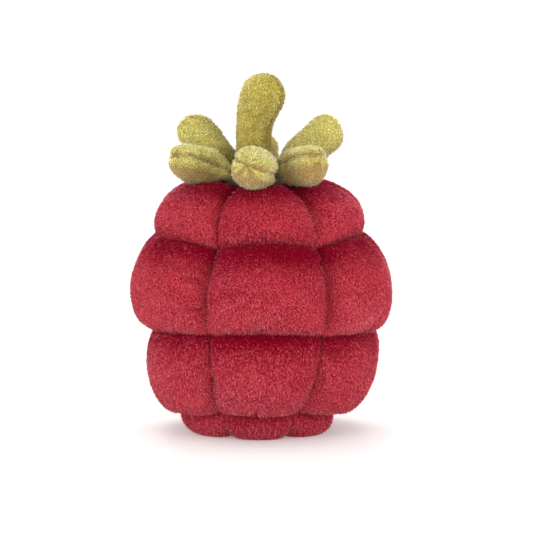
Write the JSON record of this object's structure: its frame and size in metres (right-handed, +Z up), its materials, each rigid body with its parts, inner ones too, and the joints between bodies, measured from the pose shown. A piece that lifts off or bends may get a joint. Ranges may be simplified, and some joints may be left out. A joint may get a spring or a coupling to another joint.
{
  "type": "plush raspberry toy",
  "caption": "Stuffed plush raspberry with plump crimson velour pads sewn in rows, a leafy green calyx star and a stubby bent stem; stands on its base.",
  "frame": {"origin": "centre of the flat underside, on the surface that the toy stands on", "axes": "+Z up through the stem, -Y to the front, +X to the viewer's right when the front is faced"},
  "size_m": [0.0858, 0.0909, 0.1198],
  "materials": {
    "crimson_velour": "short dense plush velour with a pale sheen at the edges and a darker nap in the seams",
    "leaf_velour": "short dense plush velour, yellow green with a pale rim",
    "stem_velour": "short dense plush velour in fine wavy ribs, olive green",
    "filling_fibre": "matte white fibre filling, hidden inside"
  },
  "bodies": {
    "root": {"base_panel_1": "crimson_velour", "base_panel_2": "crimson_velour", "base_panel_3": "crimson_velour", "base_panel_4": "crimson_velour", "base_panel_5": "crimson_velour", "base_panel_6": "crimson_velour", "lower_panel_1": "crimson_velour", "lower_panel_2": "crimson_velour", "lower_panel_3": "crimson_velour", "lower_panel_4": "crimson_velour", "lower_panel_5": "crimson_velour", "lower_panel_6": "crimson_velour", "middle_panel_1": "crimson_velour", "middle_panel_2": "crimson_velour", "middle_panel_3": "crimson_velour", "middle_panel_4": "crimson_velour", "middle_panel_5": "crimson_velour", "middle_panel_6": "crimson_velour", "top_panel_1": "crimson_velour", "top_panel_2": "crimson_velour", "top_panel_3": "crimson_velour", "top_panel_4": "crimson_velour", "top_panel_5": "crimson_velour", "top_panel_6": "crimson_velour", "underside_panel": "crimson_velour", "body_filling": "filling_fibre", "calyx_upper_layer": "leaf_velour", "calyx_under_layer": "leaf_velour", "lobe_filling_1": "filling_fibre", "lobe_filling_2": "filling_fibre", "lobe_filling_3": "filling_fibre", "lobe_filling_4": "filling_fibre", "lobe_filling_5": "filling_fibre", "lobe_filling_6": "filling_fibre", "stem_cover_left": "stem_velour", "stem_cover_right": "stem_velour", "stem_filling": "filling_fibre"}
  },
  "joints": []
}
